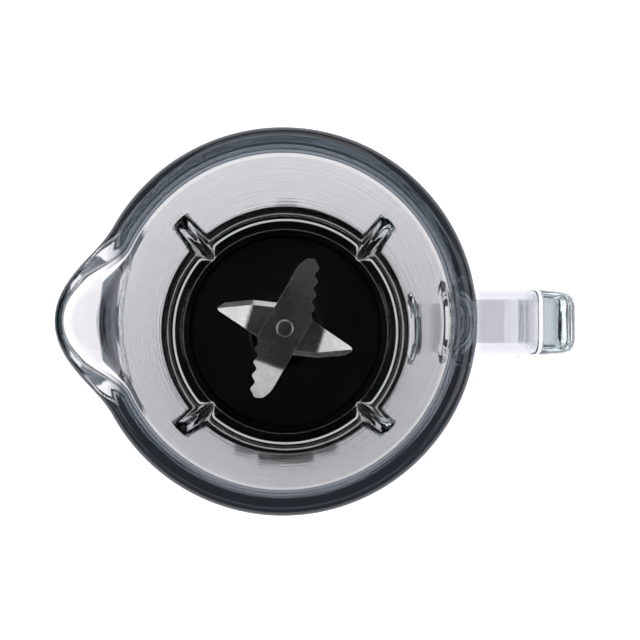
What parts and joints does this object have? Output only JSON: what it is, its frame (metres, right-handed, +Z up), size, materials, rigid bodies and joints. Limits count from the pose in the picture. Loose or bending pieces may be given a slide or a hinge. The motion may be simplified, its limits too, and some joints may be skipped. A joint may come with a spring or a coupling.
{
  "type": "countertop blender",
  "caption": "Countertop blender: heavy glass jug with handle, pouring lip and mixing ribs on a screw collar with crossed steel blades, on a round motor base with knob and pulse button.",
  "frame": {"origin": "centre of the bounding box at the height that the rubber feet stand on", "axes": "+Z up; +X towards the jug's handle, -X towards its pouring lip, -Y towards the control panel"},
  "size_m": [0.1944, 0.168, 0.322],
  "materials": {
    "jug_glass": "clear thick moulded glass, faint blue-green tint",
    "black_plastic": "black, satin gloss",
    "base_shell": "light silver grey, satin",
    "trim_plastic": "dark grey, fine moulded texture",
    "blade_steel": "stainless, fine ground",
    "shaft_steel": "turned steel",
    "bush_bronze": "sintered bronze",
    "copper_wire": "varnished copper",
    "core_steel": "stacked steel sheet",
    "brush_carbon": "pressed carbon",
    "black_rubber": "matt",
    "seal_silicone": "translucent white, matt",
    "board_laminate": "green solder mask"
  },
  "bodies": {
    "base": {"base_housing": "base_shell", "jug_seat": "trim_plastic", "base_plate": "trim_plastic", "control_panel": "trim_plastic", "rotary_switch": "trim_plastic", "pulse_switch": "trim_plastic", "interlock_switch": "trim_plastic", "upper_bearing": "shaft_steel", "lower_bearing": "shaft_steel", "motor_bolt_left": "shaft_steel", "motor_bolt_right": "shaft_steel", "plate_screw_1": "shaft_steel", "plate_screw_2": "shaft_steel", "plate_screw_3": "shaft_steel", "plate_screw_4": "shaft_steel", "pulse_spring": "shaft_steel", "interlock_spring": "shaft_steel", "brush_holder_front": "bush_bronze", "brush_holder_rear": "bush_bronze", "field_coil_left": "copper_wire", "field_coil_right": "copper_wire", "stator_core": "core_steel", "upper_bracket": "core_steel", "lower_bracket": "core_steel", "carbon_brush_front": "brush_carbon", "carbon_brush_rear": "brush_carbon", "foot_1": "black_rubber", "foot_2": "black_rubber", "foot_3": "black_rubber", "foot_4": "black_rubber", "motor_damper_1": "black_rubber", "motor_damper_2": "black_rubber", "motor_damper_3": "black_rubber", "motor_damper_4": "black_rubber", "cord_gland": "black_rubber", "control_board": "board_laminate"},
    "jug": {"glass_jug": "jug_glass", "jug_collar": "black_plastic", "jug_seal": "seal_silicone", "blade_holder": "black_plastic", "upper_bush": "bush_bronze", "lower_bush": "bush_bronze", "shaft_seal": "seal_silicone"},
    "blades": {"blade_shaft": "shaft_steel", "lower_blade": "blade_steel", "upper_blade": "blade_steel", "blade_spacer": "shaft_steel", "blade_rivet": "blade_steel", "shaft_clip": "shaft_steel", "jug_coupling": "trim_plastic"},
    "motor": {"motor_shaft": "shaft_steel", "rotor_core": "core_steel", "rotor_winding": "copper_wire", "commutator": "copper_wire", "motor_fan": "black_plastic", "drive_coupling": "black_rubber"},
    "knob": {"control_knob": "black_plastic"},
    "button": {"pulse_button": "black_plastic"},
    "interlock": {"interlock_pin": "trim_plastic"}
  },
  "joints": [
    {"name": "jug_lift", "type": "slide", "parent": "base", "child": "jug", "axis": [0, 0, 1], "range_m": [0, 0.06]},
    {"name": "blade_spin", "type": "hinge", "parent": "jug", "child": "blades", "pos_m": [-0.01325, 0, 0.2], "axis": [0, 0, 1], "continuous": true},
    {"name": "motor_spin", "type": "hinge", "parent": "base", "child": "motor", "pos_m": [-0.01325, 0, 0.068], "axis": [0, 0, 1], "continuous": true},
    {"name": "knob_turn", "type": "hinge", "parent": "base", "child": "knob", "pos_m": [-0.01325, -0.07485, 0.072], "axis": [0, 0.9891, -0.1475], "range_deg": [0, 135]},
    {"name": "button_press", "type": "slide", "parent": "base", "child": "button", "axis": [0, 0.9891, -0.1475], "range_m": [0, 0.002], "stiffness_N_per_m": 500, "springref_m": -0.001, "deforming": ["pulse_spring"]},
    {"name": "interlock_rise", "type": "slide", "parent": "base", "child": "interlock", "axis": [0, 0, 1], "range_m": [0, 0.003], "deforming": ["interlock_spring"]}
  ],
  "couplings": [
    {"joint": "blade_spin", "follows": "motor_spin", "ratio": 1},
    {"joint": "interlock_rise", "follows": "jug_lift", "ratio": 0.05}
  ]
}
